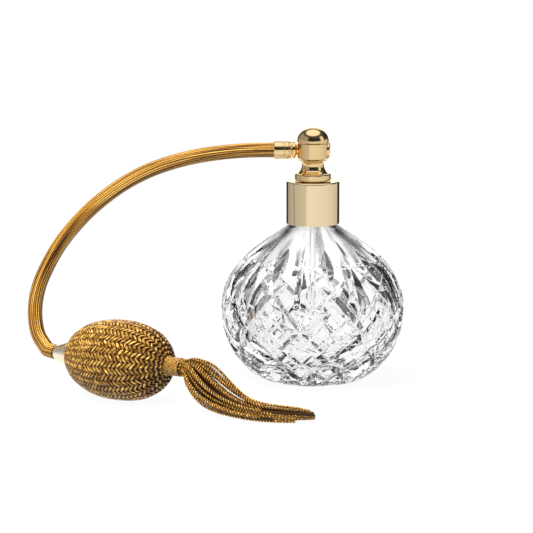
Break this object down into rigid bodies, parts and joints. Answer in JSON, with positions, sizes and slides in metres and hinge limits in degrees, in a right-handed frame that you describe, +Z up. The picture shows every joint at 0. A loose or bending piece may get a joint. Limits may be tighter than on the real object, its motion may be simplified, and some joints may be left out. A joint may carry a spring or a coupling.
{
  "type": "perfume atomiser",
  "caption": "Round cut-glass perfume bottle with a screw-on gold spray head, braided hose, squeeze bulb and tassel.",
  "frame": {"origin": "centre of the bottle's flat foot", "axes": "+Z up, +X the way the nozzle sprays, the hose leaves along -X"},
  "size_m": [0.1763, 0.1415, 0.12],
  "materials": {
    "crystal": "clear, polished, deep mitre cuts",
    "gold": "polished pale gold plate",
    "cream_gold": "satin pale gold",
    "brass": "turned",
    "steel": "ground ball",
    "rubber": "matt",
    "liner": "moulded",
    "tube": "clear",
    "hose_thread": "braided silky gold thread",
    "net_thread": "herringbone metallic gold thread",
    "tassel_thread": "twisted gold cord"
  },
  "bodies": {
    "bottle": {"glass_bottle": "crystal"},
    "gasket": {"neck_gasket": "rubber"},
    "head": {"head_stem": "gold", "retaining_nut": "brass", "dip_tube": "tube", "spray_drum": "gold", "dome_cap": "gold", "nozzle_insert": "gold", "inlet_nipple": "gold", "hose_ferrule": "gold", "air_hose": "hose_thread"},
    "collar": {"collar_shell": "gold", "threaded_liner": "liner"},
    "bulb": {"bulb_ferrule": "cream_gold", "bulb_barb": "brass", "rubber_bulb": "rubber", "net_cover": "net_thread"},
    "tail": {"tail_sleeve": "net_thread", "tail_valve_body": "brass", "ball_retainer": "brass", "tassel_knot": "tassel_thread", "tassel_skirt": "tassel_thread"},
    "valve_ball": {"inlet_ball": "steel"}
  },
  "joints": [
    {"name": "lift_off", "type": "slide", "parent": "bottle", "child": "gasket", "axis": [0, 0, 1], "range_m": [0, 0.09]},
    {"name": "screw_rise", "type": "slide", "parent": "gasket", "child": "head", "axis": [0, 0, 1], "range_m": [0, 0.0046]},
    {"name": "collar_turn", "type": "hinge", "parent": "head", "child": "collar", "pos_m": [0, 0, 0.0746], "axis": [0, 0, 1], "range_deg": [0, 540]},
    {"name": "hose_bend", "type": "hinge", "parent": "head", "child": "bulb", "pos_m": [-0.1, -0.02, 0.085], "axis": [-0.8686, 0.4955, 0], "range_deg": [0, 45], "stiffness_Nm_per_rad": 0.04, "deforming": ["air_hose"]},
    {"name": "bulb_squeeze", "type": "slide", "parent": "bulb", "child": "tail", "axis": [0.8686, -0.4955, 0], "range_m": [0, 0.0025], "stiffness_N_per_m": 400, "deforming": ["rubber_bulb", "net_cover"]},
    {"name": "ball_lift", "type": "slide", "parent": "tail", "child": "valve_ball", "axis": [-0.8686, 0.4955, 0], "range_m": [0, 0.0012]}
  ],
  "couplings": [
    {"joint": "screw_rise", "follows": "collar_turn", "m_per_rad": 0.00047746}
  ]
}
